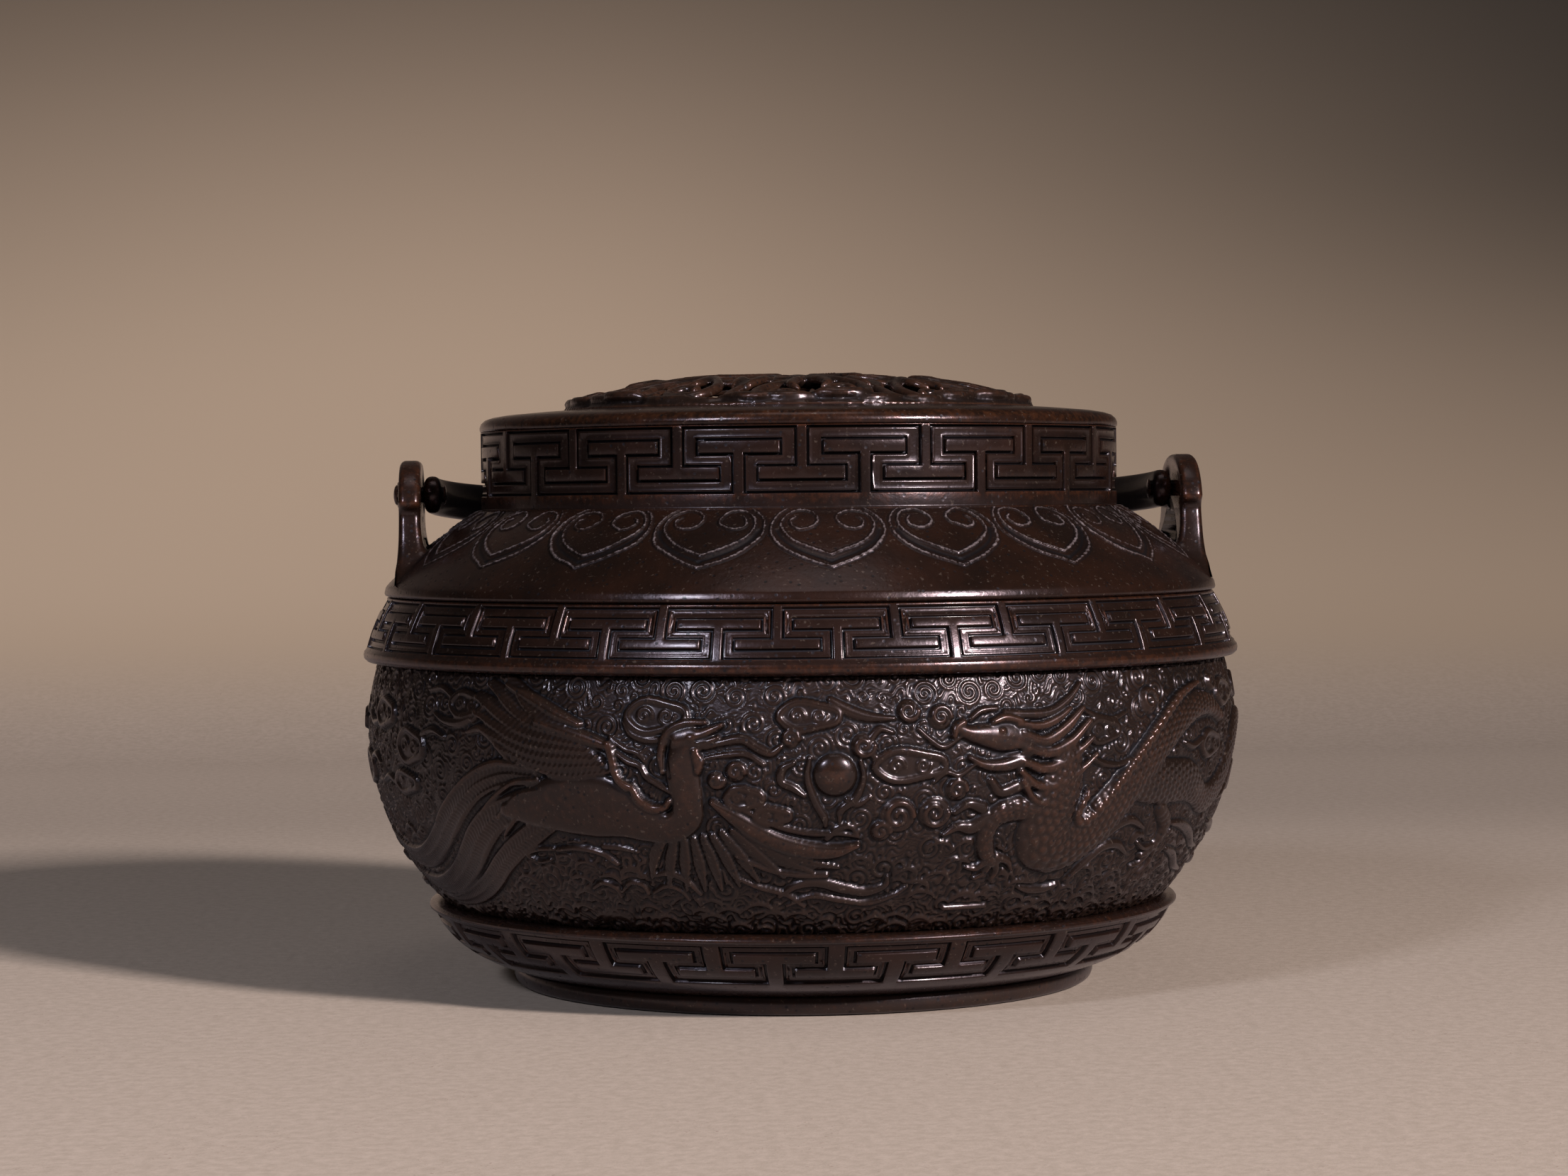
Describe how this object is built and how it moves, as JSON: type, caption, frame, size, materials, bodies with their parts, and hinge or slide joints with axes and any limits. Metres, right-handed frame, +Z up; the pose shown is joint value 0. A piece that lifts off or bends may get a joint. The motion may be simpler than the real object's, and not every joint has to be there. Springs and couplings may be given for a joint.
{
  "type": "hand warmer",
  "caption": "Round bronze brazier to warm the hands, with a foot ring, banded belly, lift-off pierced lid and a swing bail between two ears.",
  "frame": {"origin": "centre of the foot ring's underside, on the surface the object stands on", "axes": "+Z up along the axis of the bowl, -Y towards the front, +X towards the right-hand ear"},
  "size_m": [0.1224, 0.1224, 0.084],
  "materials": {
    "body_bronze": "dark patinated cast bronze, waxed",
    "band_bronze": "patinated cast bronze, bands rubbed redder",
    "lid_bronze": "patinated cast bronze, waxed",
    "bail_bronze": "patinated wrought bronze, polished by handling"
  },
  "bodies": {
    "vessel": {"foot_ring": "band_bronze", "base_plate": "body_bronze", "base_band": "band_bronze", "belly_shell": "body_bronze", "collar_band": "band_bronze", "shoulder_shell": "body_bronze", "mouth_collar": "body_bronze", "ear_right": "body_bronze", "ear_left": "body_bronze", "pivot_rosette_right": "bail_bronze", "pivot_rosette_left": "bail_bronze", "pivot_pin_right": "bail_bronze", "pivot_pin_left": "bail_bronze"},
    "lid": {"lid_wall": "lid_bronze", "lid_rim": "lid_bronze", "lid_grille": "lid_bronze"},
    "bail": {"bail": "bail_bronze"}
  },
  "joints": [
    {"name": "lid_lift", "type": "slide", "parent": "vessel", "child": "lid", "axis": [0, 0, 1], "range_m": [0, 0.04]},
    {"name": "bail_swing", "type": "hinge", "parent": "vessel", "child": "bail", "pos_m": [0, 0, 0.0684], "axis": [1, 0, 0], "range_deg": [0, 186]}
  ]
}
